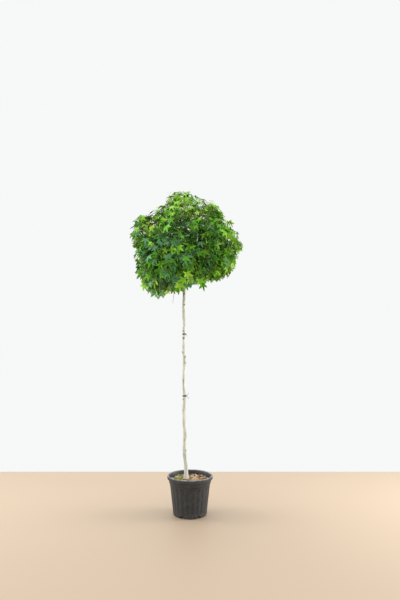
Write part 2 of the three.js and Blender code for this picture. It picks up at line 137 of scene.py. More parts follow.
def standUp(name, data, place, rotation):
    stand = bpy.data.objects.new(name, data)
    stand.location, stand.rotation_euler = place, rotation
    bpy.context.collection.objects.link(stand)
    return stand


def addCamera():
    camera = bpy.data.cameras.new("photoCamera")
    camera.lens, camera.sensor_width = view["lens"], 36
    camera.shift_x, camera.shift_y = view["shiftX"], view["shiftY"]
    place = (0, -view["distance"], view["height"])
    bpy.context.scene.camera = standUp("photoCamera", camera, place, (math.radians(90), 0, 0))


def addSoftbox(name, place, aim, size, power):
    light = bpy.data.lights.new(name, "AREA")
    light.shape, light.size, light.energy = "DISK", size, power
    standUp(name, light, place, (Vector(aim) - Vector(place)).to_track_quat("-Z", "Y").to_euler())


def addStudio():
    scene = bpy.context.scene
    scene.view_settings.view_transform = "Standard"
    world = bpy.data.worlds.new("studioAir")
    world.use_nodes = True
    air = world.node_tree.nodes["Background"]
    air.inputs["Color"].default_value = toLinear(studio["air"])
    air.inputs["Strength"].default_value = studio["airStrength"]
    scene.world = world
    for name, box in studio["boxes"].items():
        addSoftbox(name, *box)
    bpy.ops.mesh.primitive_plane_add(size=1, location=(0, 0, 0))
    floor = bpy.context.object
    floor.name = "floor"
    width, depth = studio["floorSize"]
    floor.scale = (width, depth, 1)
    floor.location = (0, studio["floorBack"] - depth / 2, -0.0005)
    material, shader = newMaterial("paleFloor", 0.55)
    shader.inputs["Base Color"].default_value = toLinear(studio["floor"])
    floor.data.materials.append(material)


addCamera()
addStudio()
print("camera and studio set")


# helpers for modelling

def pickObject(obj):
    bpy.ops.object.select_all(action="DESELECT")
    obj.select_set(True)
    bpy.context.view_layer.objects.active = obj


def startEdit(obj):
    pickObject(obj)
    bpy.ops.object.mode_set(mode="EDIT")


def endEdit():
    bpy.ops.object.mode_set(mode="OBJECT")


# in edit mode, selects only the points whose place passes the test
def pickPoints(obj, test):
    shape = bmesh.from_edit_mesh(obj.data)
    bpy.ops.mesh.select_mode(type="VERT")
    bpy.ops.mesh.select_all(action="DESELECT")
    for vertex in shape.verts:
        vertex.select = test(vertex.co)
    shape.select_flush(True)
    bmesh.update_edit_mesh(obj.data)


def applyModifier(obj, kind, **settings):
    modifier = obj.modifiers.new(kind.lower(), kind)
    for key, value in settings.items():
        setattr(modifier, key, value)
    bpy.context.view_layer.objects.active = obj
    bpy.ops.object.modifier_apply(modifier=modifier.name)


# place and size go into the mesh
def settle(obj):
    pickObject(obj)
    bpy.ops.object.transform_apply(location=True, rotation=True, scale=True)


def smoothByAngle(obj, angle):
    pickObject(obj)
    bpy.ops.object.shade_smooth_by_angle(angle=math.radians(angle))


# a closed round body: a filled circle carried up, out, in and down along the profile
def turnedBody(name, profile, sides):
    radius, height = profile[0]
    bpy.ops.mesh.primitive_circle_add(vertices=sides, radius=radius, fill_type="NGON", location=(0, 0, height))
    body = bpy.context.object
    body.name = name
    settle(body)
    startEdit(body)
    bpy.ops.mesh.select_all(action="SELECT")
    for nextRadius, nextHeight in profile[1:]:
        bpy.ops.mesh.extrude_region_move(TRANSFORM_OT_translate={"value": (0, 0, nextHeight - height)})
        share = nextRadius / radius
        bpy.ops.transform.resize(value=(share, share, 1), center_override=(0, 0, nextHeight))
        radius, height = nextRadius, nextHeight
    bpy.ops.mesh.select_all(action="SELECT")
    bpy.ops.mesh.normals_make_consistent(inside=False)
    endEdit()
    return body


def finishPiece(obj, material, angle):
    obj.data.materials.clear()
    obj.data.materials.append(material)
    smoothByAngle(obj, angle)
    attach(obj, "root")


# takes a modelled shape out of the scene as points and faces, to be copied
def takeShape(obj):
    points = np.array([v.co[:] for v in obj.data.vertices])
    faces = [list(p.vertices) for p in obj.data.polygons]
    bpy.data.objects.remove(obj)
    return points, faces


# one joined mesh from arrays, smoothed below an angle; marks are values for each point
def meshPiece(name, points, faces, materials, angle, slots=None, uv=None, marks=None):
    mesh = bpy.data.meshes.new(name)
    mesh.from_pydata(np.asarray(points).reshape(-1, 3).tolist(), [], [list(f) for f in faces])
    for material in materials:
        mesh.materials.append(material)
    if slots is not None:
        mesh.polygons.foreach_set("material_index", np.asarray(slots, dtype=np.int32))
    if uv is not None:
        layer = mesh.uv_layers.new(name="UVMap")
        corner = np.zeros(len(mesh.loops), dtype=np.int32)
        mesh.loops.foreach_get("vertex_index", corner)
        layer.data.foreach_set("uv", np.asarray(uv, dtype=np.float32)[corner].ravel())
    for key, values in (marks or {}).items():
        layer = mesh.attributes.new(key, "FLOAT", "POINT")
        layer.data.foreach_set("value", np.asarray(values, dtype=np.float32))
    mesh.update()
    obj = bpy.data.objects.new(name, mesh)
    bpy.context.collection.objects.link(obj)
    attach(obj, "root")
    smoothByAngle(obj, angle)
    return obj


# points in millimetres to metres
def inMetres(points):
    return np.array([p[:] for p in points]) * mm


# the pot: injection-moulded polypropylene, near black and scuffed grey on its edges

pot = {
    "height": 0.310, "rim": 0.180, "lip": 0.029, "band": 0.1655, "bandFoot": 0.255,
    "wallTop": 0.161, "wallFoot": 0.1335, "footRound": 0.013,
    "flutes": 24, "fluteDepth": 0.005, "fluteFoot": 0.024, "fluteTop": 0.234, "sides": 96,
    "wall": 0.0068,  # with the depth of the flutes
    "drains": 6, "drainWidth": 0.030, "drainHeight": 0.021, "drainTurn": 2,
}


def wallRadius(z):
    rise = max(0, z - pot["footRound"]) / (pot["bandFoot"] - pot["footRound"])
    return mix(pot["wallFoot"], pot["wallTop"], rise)


def boreRadius(z):
    return wallRadius(z) - pot["wall"]


def potMaterial():
    material, shader = newMaterial("mouldedPolypropylene", 0.5, IOR=1.49)
    coords = addNode(material, "TexCoord").outputs["Object"]
    height = addNode(material, "SeparateXYZ", None, Vector=coords).outputs["Z"]
    # grey bloom and handling scuffs, patches of 30 mm and scratches of 2 mm
    bloom = addNode(material, "TexNoise", {"Scale": 30, "Detail": 6, "Roughness": 0.65}, Vector=coords)
    bloomAmount = addNode(material, "MapRange", {"range": (0.35, 0.75)}, Value=bloom)
    stretch = addNode(material, "Mapping", {"Scale": (240, 240, 30)}, Vector=coords)
    scratch = addNode(material, "TexNoise", {"Scale": 1, "Detail": 3}, Vector=stretch)
    scratched = addNode(material, "MapRange", {"range": (0.6, 0.72, 0, 0.55)}, Value=scratch)
    # edges of the lip, flutes and foot are worn paler
    edge = addNode(material, "NewGeometry").outputs["Pointiness"]
    worn = addNode(material, "MapRange", {"range": (0.5, 0.62, 0, 0.7)}, Value=edge)
    # a painted highlight along the top of the lip, where the light catches the rim, broken up in patches
    lipHighlightBand = addNode(material, "MapRange", {"range": (0.3035, 0.3075, 0, 0.9)}, Value=height)
    highlightBreakup = addNode(material, "MapRange", {"range": (0.4, 0.58, 0.25, 1)}, Value=bloom)
    paintedLipHighlight = addNode(material, "Math", {"operation": "MULTIPLY"}, i0=lipHighlightBand, i1=highlightBreakup)
    # compost dust on the lowest 60 mm
    low = addNode(material, "MapRange", {"range": (0.06, 0, 0, 0.8)}, Value=height)
    specks = addNode(material, "TexNoise", {"Scale": 160, "Detail": 2}, Vector=coords)
    speckled = addNode(material, "MapRange", {"range": (0.55, 0.68)}, Value=specks)
    dusty = addNode(material, "Math", {"operation": "MULTIPLY"}, i0=low, i1=speckled)
    colour = addNode(material, "Mix", {"data_type": "RGBA", "i6": "#1E2124", "i7": "#3B3F43"}, i0=bloomAmount)
    # tones laid over the plastic: scratches, worn edges, the painted lip highlight and compost dust
    for amount, tone in ((scratched, "#5A5A57"), (worn, "#6A6965"), (paintedLipHighlight, "#A9A79F"), (dusty, "#7D7061")):
        colour = addNode(material, "Mix", {"data_type": "RGBA", "i7": tone}, i0=amount, i6=colour)
    link(colour, shader, "Base Color")
    gloss = addNode(material, "MapRange", {"range": (0.3, 0.7, 0.42, 0.62)}, Value=bloom)
    link(gloss, shader, "Roughness")
    link(addNode(material, "Bump", {"Strength": 0.25, "Distance": 0.0006}, Height=scratch), shader, "Normal")
    return material


def makePot():
    top = pot["height"]
    lipFoot = top - pot["lip"]
    foot = pot["wallFoot"] - pot["footRound"]
    bore = boreRadius(pot["bandFoot"])
    band, rim = pot["band"], pot["rim"]
    profile = [(foot - 0.02, 0), (foot - 0.001, 0), (foot + 0.006, 0.0012), (foot + 0.0105, 0.0045)]
    profile += [(wallRadius(0), pot["footRound"])]
    profile += [(wallRadius(z), z) for z in (0.022, 0.026, 0.05, 0.10, 0.15, 0.20, 0.232, 0.237, 0.246)]
    profile += [
        (pot["wallTop"] + 0.0002, 0.2525), (band - 0.0015, 0.2540), (band, 0.2565), (band + 0.0006, 0.268),
        (band + 0.0008, lipFoot - 0.0015), (band + 0.002, lipFoot), (rim - 0.0035, lipFoot + 0.0006),
        (rim - 0.0006, lipFoot + 0.0035), (rim, lipFoot + 0.010), (rim - 0.0012, top - 0.006),
        (rim - 0.0045, top - 0.0012), (rim - 0.008, top), (rim - 0.0115, top - 0.0012),
        (bore + 0.009, top - 0.006), (bore + 0.003, lipFoot), (bore, pot["bandFoot"]), (boreRadius(0.15), 0.15),
        (boreRadius(pot["footRound"]), pot["footRound"]), (boreRadius(0) - 0.006, 0.005), (0.05, 0.0042),
    ]
    body = turnedBody("nurseryPot", profile, pot["sides"])
    startEdit(body)
    # flutes: three columns in four of the outer wall are drawn in between the foot and the band
    for phase, depth in ((0.25, 0.85), (0.5, 1), (0.75, 0.85)):
        pickPoints(body, lambda co: pot["fluteFoot"] < co.z < pot["fluteTop"]
                   and co.xy.length > wallRadius(co.z) - 0.002
                   and abs(math.atan2(co.y, co.x) / math.tau * pot["flutes"] % 1 - phase) < 0.05)
        drawIn = 1 - pot["fluteDepth"] * depth / pot["wallTop"]
        bpy.ops.transform.resize(value=(drawIn, drawIn, 1), center_override=(0, 0, 0))
    # handling has left the soft lip a little out of round
    pickPoints(body, lambda co: co.z > 0.284 and co.xy.length > 0.165)
    bpy.ops.transform.resize(value=(0.996, 0.990, 1), center_override=(0, 0, 0))
    endEdit()
    applyModifier(body, "SUBSURF", levels=1, render_levels=1)
    for i in range(pot["drains"]):
        turn = math.radians(pot["drainTurn"]) + i / pot["drains"] * math.tau
        bpy.ops.mesh.primitive_cube_add(size=1)
        cutter = bpy.context.object
        cutter.scale = (0.03, pot["drainWidth"], pot["drainHeight"] * 2)
        cutter.location = (pot["wallFoot"] * math.cos(turn), pot["wallFoot"] * math.sin(turn), 0)
        cutter.rotation_euler = (0, 0, turn)
        settle(cutter)
        applyModifier(cutter, "BEVEL", width=0.004, segments=3)
        applyModifier(body, "BOOLEAN", object=cutter, operation="DIFFERENCE", solver="EXACT")
        bpy.data.objects.remove(cutter)
    finishPiece(body, potMaterial(), 35)
    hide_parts("pot")


makePot()
print("pot made")


# the growing medium: compost under bark chips, moss on the left, pale stones on the right

soil = {
    "level": 0.278, "edgeDrop": 0.005, "flat": 0.06, "slope": 0.09, "rings": 14,
    "stemX": -0.030, "stemClear": 0.020,
    "chips": 620, "chipLength": 0.021, "stones": 90, "stoneLength": 0.014, "moss": 240, "mossLength": 0.019,
    "bore": boreRadius(0.28) - 0.001,  # chips keep inside it
    # kinds of bark flake: name, dark and pale tone, and share of all
    "barks": [("chipsOrange", "#643E22", "#CE9A64", 0.30), ("chipsTan", "#806444", "#EBD3AC", 0.44),
              ("chipsBrown", "#2E1C12", "#8A6442", 0.26)],
}


def bedHeight(x, y):
    fall = soil["edgeDrop"] * clamp((math.hypot(x, y) - soil["flat"]) / soil["slope"])
    return soil["level"] - 0.003 - fall


def earthMaterial(name, dark, pale, scale, roughness=0.95):
    material, shader = newMaterial(name, roughness)
    coords = addNode(material, "TexCoord").outputs["Object"]
    grain = addNode(material, "TexNoise", {"Scale": scale, "Detail": 8, "Roughness": 0.7}, Vector=coords)
    colour = addNode(material, "ValToRGB", {"stops": [(0.3, dark), (0.72, pale)]}, Fac=grain)
    link(colour, shader, "Base Color")
    link(addNode(material, "Bump", {"Strength": 0.6, "Distance": 0.001}, Height=grain), shader, "Normal")
    return material


# layered bark: fibres 1 mm wide and 10 mm long along the flake, on its own map, and its own tone
def chipMaterial(name, dark, pale):
    material, shader = newMaterial(name, 0.88)
    flat = addNode(material, "UVMap", {"uv_map": "UVMap"})
    fibres = addNode(material, "Mapping", {"Scale": (3, 22, 1)}, Vector=flat)
    lines = addNode(material, "TexNoise", {"Scale": 1, "Detail": 4, "Roughness": 0.6}, Vector=fibres)
    tone = addNode(material, "Attribute", {"attribute_name": "tone"}).outputs["Fac"]
    blend = addNode(material, "Mix", {"data_type": "FLOAT", "Factor": 0.55}, i2=lines, i3=tone)
    colour = addNode(material, "ValToRGB", {"stops": [(0.15, dark), (0.85, pale)]}, Fac=blend)
    link(colour, shader, "Base Color")
    link(addNode(material, "Bump", {"Strength": 0.6, "Distance": 0.0008}, Height=lines), shader, "Normal")
    return material


def makeBed():
    edge = soil["level"] - soil["edgeDrop"] - 0.003
    outer = boreRadius(edge) - 0.004
    profile = [
        (0.086, 0.0046), (0.098, 0.006), (0.106, 0.020), (boreRadius(0.04) - 0.0012, 0.040),
        (boreRadius(0.15) - 0.0008, 0.15), (boreRadius(edge) - 0.0012, edge - 0.004), (outer, edge),
    ]
    radii = [mix(outer, 0.006, (i + 1) / soil["rings"]) for i in range(soil["rings"])]
    profile += [(radius, bedHeight(radius, 0)) for radius in radii]
    bed = turnedBody("compostBed", profile, 64)
    # the surface is left crumbly
    startEdit(bed)
    pickPoints(bed, lambda co: co.z > edge - 0.001 and co.xy.length < outer - 0.004)
    bpy.ops.transform.vertex_random(offset=0.0022, normal=1, seed=3)
    endEdit()
    finishPiece(bed, earthMaterial("moistCompost", "#2A1A10", "#6B472B", 220), 60)
    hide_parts("growing_medium")


# a flake of bark: a cube flattened, split on a slant at both ends and worn round
def chipShape():
    bpy.ops.mesh.primitive_cube_add(size=1)
    chip = bpy.context.object
    chip.scale = (1, 0.56, 0.22)
    settle(chip)
    startEdit(chip)
    for place, way in ((0.4, (1, 0.5, 0.3)), (-0.42, (-1, 0.4, -0.2))):
        bpy.ops.mesh.select_all(action="SELECT")
        bpy.ops.mesh.bisect(plane_co=(place, 0, 0), plane_no=way, use_fill=True, clear_outer=True)
    endEdit()
    applyModifier(chip, "BEVEL", width=0.03, segments=1)
    applyModifier(chip, "TRIANGULATE")
    return takeShape(chip)


# a lumpy ball of 80 faces
def pebbleShape(lumps, seed):
    bpy.ops.mesh.primitive_ico_sphere_add(subdivisions=2, radius=0.5)
    pebble = bpy.context.object
    startEdit(pebble)
    bpy.ops.mesh.select_all(action="SELECT")
    bpy.ops.transform.vertex_random(offset=lumps, seed=seed)
    bpy.ops.mesh.select_all(action="SELECT")
    bpy.ops.mesh.vertices_smooth(factor=0.4)
    endEdit()
    return takeShape(pebble)


# copies of one shape on the bed, joined, each with its own place on the map and its own tone
def scatter(name, shape, count, place, material, draw, squash=1):
    points, faces = shape
    allPoints, allFaces, uv, tones = [], [], [], []
    for _ in range(count):
        spot = place()
        if spot is None:
            continue
        centre, size, turn = spot
        moved = (points * (size, size, size * squash)) @ turn.T + np.array(centre)
        if np.hypot(moved[:, 0], moved[:, 1]).max() > soil["bore"]:
            continue
        base = len(allPoints) * len(points)
        allPoints.append(moved)
        allFaces += [[base + v for v in f] for f in faces]
        uv.append(points[:, :2] + (draw.random() * 20, draw.random() * 20))
        tones += [draw.random()] * len(points)
    piece = meshPiece(name, np.concatenate(allPoints), allFaces, [material], 30, uv=np.concatenate(uv),
                      marks={"tone": tones})


def makeTopping():
    draw = random.Random(7)
    limit = boreRadius(0.275) - 0.012

    def spot(length, flat, lift, side=0.0, sink=0.3, slope=0.3):
        def place():
            radius = limit * math.sqrt(draw.random())
            turn = draw.random() * math.tau
            x, y = radius * math.cos(turn), radius * math.sin(turn)
            size = length * draw.uniform(0.5, 1.3)
            if math.hypot(x - soil["stemX"], y) < soil["stemClear"] + size * 0.4:
                return None
            if side and (x + 0.5 * y) * side < draw.uniform(-0.03, 0.09):
                return None
            z = bedHeight(x, y) + size * flat * sink + draw.random() * lift
            tilt = Euler((draw.gauss(0, slope), draw.gauss(0, slope), draw.random() * math.tau))
            return (x, y, z), size, np.array(tilt.to_matrix())
        return place

    chip = chipShape()
    for name, dark, pale, share in soil["barks"]:
        scatter(name, chip, int(soil["chips"] * share), spot(soil["chipLength"], 0.22, 0.006),
                chipMaterial(name + "Bark", dark, pale), draw)
    scatter("paleStones", pebbleShape(0.1, 4), soil["stones"], spot(soil["stoneLength"], 0.6, 0.006, side=1),
            earthMaterial("paleStone", "#8E887A", "#DDD7C8", 260, 0.8), draw, 0.62)
    scatter("moss", pebbleShape(0.16, 9), soil["moss"],
            spot(soil["mossLength"], 0.42, 0.005, side=-1, sink=0.7, slope=0.12),
            earthMaterial("cushionMoss", "#43491A", "#A3A658", 700), draw, 0.42)


makeBed()
makeTopping()
print("growing medium made")


# the stem: young sweetgum bark, smooth pale grey-green with dark scars and small warts

trunk = {
    "footX": -30, "topX": -48.5, "swayHeight": 260, "wander": 3, "wanderPeriod": 275, "wanderStart": -0.46,
    "soil": 278, "graft": 1790, "tip": 1942, "footRadius": 14.5, "graftRadius": 11, "tipRadius": 8,
    "flare": 8, "flareHeight": 30, "graftSwelling": 8, "sides": 28, "step": 4,
    "rootRidge": 2.2, "rootHeight": 70, "clear": 0.3,  # gap above the bed
    # scars and knots: height, azimuth in degrees, how far it stands out, and its reach, in millimetres
    "knots": [(1442, 215, 3.2, 11), (1386, 268, 2.2, 13), (1276, 190, 3.0, 12), (1238, 330, 2.6, 12),
              (1192, 352, 3.2, 12), (1170, 20, 2.4, 10), (504, 350, 2.8, 12), (906, 215, 2.0, 9),
              (760, 120, 3.0, 12), (1560, 60, 3.0, 12), (1650, 300, 2.4, 10), (430, 80, 2.6, 11),
              (1098, 40, 2.6, 12), (1466, 190, 2.6, 10), (1734, 262, 2.2, 9)],
}


def stemPoint(rise):
    fade = math.exp(-rise / trunk["swayHeight"])
    turn = rise / trunk["wanderPeriod"] * math.tau + trunk["wanderStart"]
    x = trunk["topX"] + (trunk["footX"] - trunk["topX"]) * fade + trunk["wander"] * math.sin(turn)
    y = trunk["wander"] * math.sin(turn * 0.7) * (1 - fade)
    return Vector((x, y, trunk["soil"] + rise))


def stemRadius(z):
    span = trunk["tip"] - trunk["soil"]
    share, graft = (z - trunk["soil"]) / span, (trunk["graft"] - trunk["soil"]) / span
    if share < graft:
        radius = mix(trunk["footRadius"], trunk["graftRadius"], share / graft)
    else:
        radius = mix(trunk["graftRadius"], trunk["tipRadius"], (share - graft) / (1 - graft))
    flare = trunk["flare"] * math.exp(-(z - trunk["soil"]) / trunk["flareHeight"])
    return radius + flare + trunk["graftSwelling"] * math.exp(-(((z - trunk["graft"] - 20) / 42) ** 2))


def limbFrame(along):
    side = (up if abs(along.z) < 0.98 else east).cross(along).normalized()
    return side, along.cross(side)


# radii along a line, from the first to the last
def taper(line, first, last):
    return [mix(first, last, k / (len(line) - 1)) for k in range(len(line))]


# rings round a line of places, closed at both ends; relief(point, outward) adds to the radius
def tubeArrays(places, radii, sides, base, relief=None):
    points, faces = [], []
    count = len(places)
    side = None
    for k, place in enumerate(places):
        along = (places[min(k + 1, count - 1)] - places[max(k - 1, 0)]).normalized()
        if side is None:
            side, across = limbFrame(along)
        else:
            side = (side - along * side.dot(along)).normalized()
            across = along.cross(side)
        for i in range(sides):
            turn = i / sides * math.tau
            outward = side * math.cos(turn) + across * math.sin(turn)
            radius = radii[k] + (relief(place, outward) if relief else 0)
            points.append(place + outward * radius)
    for k in range(count - 1):
        for i in range(sides):
            a, b = base + k * sides + i, base + k * sides + (i + 1) % sides
            faces.append((a, b, b + sides, a + sides))
    last = base + (count - 1) * sides
    faces.append(tuple(base + i for i in reversed(range(sides))))
    faces.append(tuple(last + i for i in range(sides)))
    return points, faces


def barkMaterial(name, pale, mid, dark, scar="#4A4336", green="#A9AE86"):
    material, shader = newMaterial(name, 0.78)
    coords = addNode(material, "TexCoord").outputs["Object"]
    # long faint streaks up the stem, 60 mm by 5 mm, and 3 mm lenticels
    stretch = addNode(material, "Mapping", {"Scale": (90, 90, 12)}, Vector=coords)
    streak = addNode(material, "TexNoise", {"Scale": 1, "Detail": 5, "Roughness": 0.6}, Vector=stretch)
    cross = addNode(material, "Mapping", {"Scale": (120, 120, 260)}, Vector=coords)
    pores = addNode(material, "TexVoronoi", {"Scale": 1}, Vector=cross)
    pored = addNode(material, "MapRange", {"range": (0.32, 0.12, 0, 0.45)}, Value=pores)
    # a green film of algae in broad patches
    patch = addNode(material, "TexNoise", {"Scale": 9, "Detail": 3}, Vector=coords)
    film = addNode(material, "MapRange", {"range": (0.48, 0.7, 0, 0.55)}, Value=patch)
    scarred = addNode(material, "Attribute", {"attribute_name": "scar"}).outputs["Fac"]
    colour = addNode(material, "ValToRGB", {"stops": [(0.3, dark), (0.62, pale), (0.46, mid)]}, Fac=streak)
    for amount, tone in ((film, green), (pored, dark), (scarred, scar)):
        colour = addNode(material, "Mix", {"data_type": "RGBA", "i7": tone}, i0=amount, i6=colour)
    link(colour, shader, "Base Color")
    link(addNode(material, "Bump", {"Strength": 0.5, "Distance": 0.0008}, Height=streak), shader, "Normal")
    return material


def makeStem():
    rise = trunk["tip"] - trunk["soil"]
    count = int(rise / trunk["step"])
    places = [stemPoint(rise * k / count) for k in range(count + 1)]
    places[0].z += trunk["clear"]

    def relief(place, outward):
        ripple = 0.5 * noise.noise(Vector((outward.x * 2, outward.y * 2, place.z / 26)))
        fine = 0.22 * noise.noise(Vector((outward.x * 6, outward.y * 6, place.z / 5)))
        roots = 0
        if place.z < trunk["soil"] + trunk["rootHeight"]:
            fade = 1 - (place.z - trunk["soil"]) / trunk["rootHeight"]
            roots = trunk["rootRidge"] * math.cos(3 * math.atan2(outward.y, outward.x) + 0.5) * fade
        swell, mark = 0, 0
        for height, azimuth, stand, reach in trunk["knots"]:
            rise = (place.z - height) / reach
            if abs(rise) > 2:
                continue
            turn = math.radians(azimuth)
            facing = outward.x * math.cos(turn) + outward.y * math.sin(turn)
            near = math.exp(-rise * rise * 1.6) * max(0, (facing - 0.2) / 0.8) ** 1.6
            swell += stand * near - 1.4 * near ** 5
            mark = max(mark, near ** 1.4)
        scars.append(min(1, mark * 0.95))
        return ripple + fine + roots + swell

    scars = []
    points, faces = tubeArrays(places, [stemRadius(p.z) for p in places], trunk["sides"], 0, relief)
    floor = trunk["soil"] + trunk["clear"]
    for point in points[:trunk["sides"] * 3]:
        point.z = max(point.z, floor)
    bark = barkMaterial("youngStemBark", "#EBEAE2", "#D2D2C6", "#939284")
    stem = meshPiece("stem", inMetres(points), faces, [bark], 70, marks={"scar": scars})
    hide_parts("trunk")


makeStem()
print("stem made")


# the soft ties: dark PVC tape wound round the stem and knotted, tails left loose

# height of each and its loose tails: angle in degrees, length in metres and curl in degrees
ties = {
    "tie_upper": (1418, [(-30, 0.022, 20)]), "tie_lower": (932, [(38, 0.031, -14), (-22, 0.030, 30)]),
    "radius": 0.0019, "stand": 1.6, "knot": 0.0042, "tail": (0.0017, 0.0011), "tailSteps": 7,
}


# one colour that goes over into another in soft patches
def patchyMaterial(name, dark, pale, scale, roughness=0.6, detail=3):
    material, shader = newMaterial(name, roughness)
    coords = addNode(material, "TexCoord").outputs["Object"]
    patches = addNode(material, "TexNoise", {"Scale": scale, "Detail": detail}, Vector=coords)
    tone = addNode(material, "Mix", {"data_type": "RGBA", "i6": dark, "i7": pale}, i0=patches)
    link(tone, shader, "Base Color")
    return material


def makeTie(node, material):
    height, tails = ties[node]
    centre = stemPoint(height - trunk["soil"]) * mm
    radius = (stemRadius(height) + ties["stand"]) * mm
    parts = []
    # two turns round the stem, a little aslant
    for lift, lean in ((-2.0, 0.14), (2.1, -0.1)):
        bpy.ops.mesh.primitive_torus_add(major_segments=40, minor_segments=8, major_radius=radius,
                                         minor_radius=ties["radius"], rotation=(lean, lean * 0.7, 0),
                                         location=(centre.x, centre.y, centre.z + lift * mm))
        parts.append(bpy.context.object)
        parts[-1].scale = (1, 1, 1.25)
    knot = Vector((centre.x + radius * 0.97, centre.y - radius * 0.35, centre.z))
    bpy.ops.mesh.primitive_ico_sphere_add(subdivisions=2, radius=ties["knot"], location=knot)
    parts.append(bpy.context.object)
    parts[-1].scale = (0.9, 1.1, 1.3)
    pickObject(parts[0])
    for part in parts:
        part.select_set(True)
    bpy.ops.object.join()
    tie = bpy.context.object
    settle(tie)
    points, faces = takeShape(tie)
    points = list(points)
    steps = ties["tailSteps"]
    for angle, length, curl in tails:
        line = []
        for k in range(steps + 1):
            share = k / steps
            bend = math.radians(angle - curl * share)
            line.append(knot + Vector((math.cos(bend), -0.2 * share, math.sin(bend))) * length * share)
        more, sides = tubeArrays(line, taper(line, *ties["tail"]), 6, len(points))
        points += [p[:] for p in more]
        faces += sides
    piece = meshPiece(node + "_tape", points, faces, [material], 50)
    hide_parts(node)


tape = patchyMaterial("softTieTape", "#1E1C17", "#57523F", 180, 0.55, 4)
makeTie("tie_upper", tape)
makeTie("tie_lower", tape)
print("ties made")


# the crown: boughs leave the leader in a spiral, and each feeds the wedge of the ball nearest to it

crown = {
    "centre": Vector((-35, 0, 2090)), "ball": 428, "masses": 10, "lowestSine": -0.6, "firstAzimuth": 215,
    "forkLow": 1796, "forkHigh": 1926, "seeds": [500, 301, 352, 753, 754, 305, 106, 157, 358, 309],
    # reach of the leaf tips seen from the front, every 15 degrees from the right-hand side upwards
    "outline": [474, 442, 400, 414, 444, 434, 466, 460, 394, 392, 478, 466,
                424, 427, 458, 476, 468, 374, 356, 326, 326, 380, 424, 434],
    # lumps of the front and back: azimuth and elevation in degrees, extra reach, spread in degrees
    "bulges": [(-98, -45, 20, 22), (84, 34, 44, 22), (108, -38, 30, 22)],
    # twigs in the lumps of the outline: angle seen from the front, lean to the back, both in degrees,
    # and how far inside the outline they end
    "tufts": [(96, 3, 62), (56, -4, 42), (74, 12, 60), (108, 6, 45), (132, 4, 50), (152, 2, 42), (168, -8, 30),
              (188, 2, 45), (1, -4, 28), (16, 10, 42), (346, 4, 45), (226, 4, 50), (242, -8, 55), (210, 8, 55),
              (326, 0, 55)],
    # further shoots, in the same way
    "tips": [(84, -12, 40), (106, -6, 38), (90, 8, 36), (114, 4, 40), (98, -14, 36), (47, 6, 16),
             (52, -10, 18), (93, 0, 18), (97, -8, 24), (64, -14, 46), (38, -4, 46), (128, -8, 44), (138, 8, 56),
             (160, -10, 44), (176, 8, 46), (150, -14, 50), (12, -10, 46), (-10, -8, 50), (6, 8, 44), (24, -6, 52),
             (238, -8, 50), (218, -12, 50), (246, 10, 50), (-32, 6, 50), (-20, -12, 50), (202, -6, 50),
             (190, 6, 46), (30, 4, 54), (262, -6, 44), (-48, -4, 44), (50, -3, 14)],
}
bough = {"rootRadius": 8, "endRadius": 2.6, "reach": 0.76, "sides": 12, "steps": 40}
twig = {"rootRadius": 3.4, "tipRadius": 1.7, "steps": 8, "perMass": 7, "depths": [1, 0.86, 0.96], "room": 112}
shoot = {"perTwig": 8, "shortest": 40, "longest": 105, "rootRadius": 1.7, "tipRadius": 1.1, "steps": 4,
         "lean": (40, 68), "tipLean": 12, "outwards": 0.35, "upwards": 0.15, "limit": 0.95,
         "leafEvery": 12, "fillPlaces": 320, "fillApart": 52, "fillReach": 0.87}
leaf = {
    "seed": 2032, "shortest": 44, "longest": 76, "topSize": 0.68, "footSize": 1.1, "thickness": 1,
    "stalkShortest": 30, "stalkLongest": 74, "stalkRadius": 0.75,
    "flattest": -0.1, "mostFolded": 0.95,  # how far the halves fold up, in radians
    "innerLimit": 0.88, "apart": 18,
    # share of leaves kept in the upper half, inside and near the outline, and in the lower half
    "keepInside": 0.24, "keepOutside": 0.72, "keepBelow": 0.92,
    # share kept beyond so much of the crown's reach
    "edgeFrom": 0.87, "keepEdge": 0.55,
    "lean": (25, 80), "palm": 0.19, "vein": "#B9CC7E", "veinWidth": 0.012, "veinDepth": 0.025,
}


# the source's own run of repeatable numbers from 0 to 1
def seeded(seed):
    state = seed

    def draw():
        nonlocal state
        state = (state + 0x6d2b79f5) & 0xffffffff
        t = ((state ^ (state >> 15)) * (state | 1)) & 0xffffffff
        t ^= (t + (((t ^ (t >> 7)) * (t | 61)) & 0xffffffff)) & 0xffffffff
        return ((t ^ (t >> 14)) & 0xffffffff) / 4294967296
    return draw


def direction(azimuth, sine):
    level = math.sqrt(1 - sine * sine)
    return Vector((level * math.cos(azimuth), level * math.sin(azimuth), sine))


massWays = [direction(math.radians(crown["firstAzimuth"]) + i * goldenAngle,
                      mix(crown["lowestSine"], 1, (i + 0.5) / crown["masses"])) for i in range(crown["masses"])]
bulgeWays = np.array([direction(math.radians(b[0]), math.sin(math.radians(b[1])))[:] for b in crown["bulges"]])
bulgeExtras = np.array([b[2] for b in crown["bulges"]])
bulgeSpreads = np.radians([b[3] for b in crown["bulges"]])


# how far leaf tips stand from the crown's centre in many directions
def reachTowards(ways):
    outline = np.array(crown["outline"])
    turn = np.mod(np.arctan2(ways[:, 2], ways[:, 0]) / math.tau, 1) * len(outline)
    part = turn % 1
    here, there = (outline[end(turn).astype(int) % len(outline)] for end in (np.floor, np.ceil))
    seen = mix(here, there, part * part * (3 - 2 * part))
    cosine = np.clip(ways @ bulgeWays.T, -1, 1)
    extra = (bulgeExtras * np.exp(-((np.arccos(cosine) / bulgeSpreads) ** 2))).sum(axis=1)
    return mix(crown["ball"], seen, 1 - ways[:, 1] ** 2) + extra


def crownReach(way):
    return float(reachTowards(np.array([way[:]]))[0])


# how far each of many points lies towards the outline, 1 being on it
def reachShares(points):
    out = points - np.array(crown["centre"][:])
    length = np.linalg.norm(out, axis=1)
    return length / reachTowards(out / length[:, None])


def reachShare(point):
    return reachShares(np.array([point[:]]))[0]


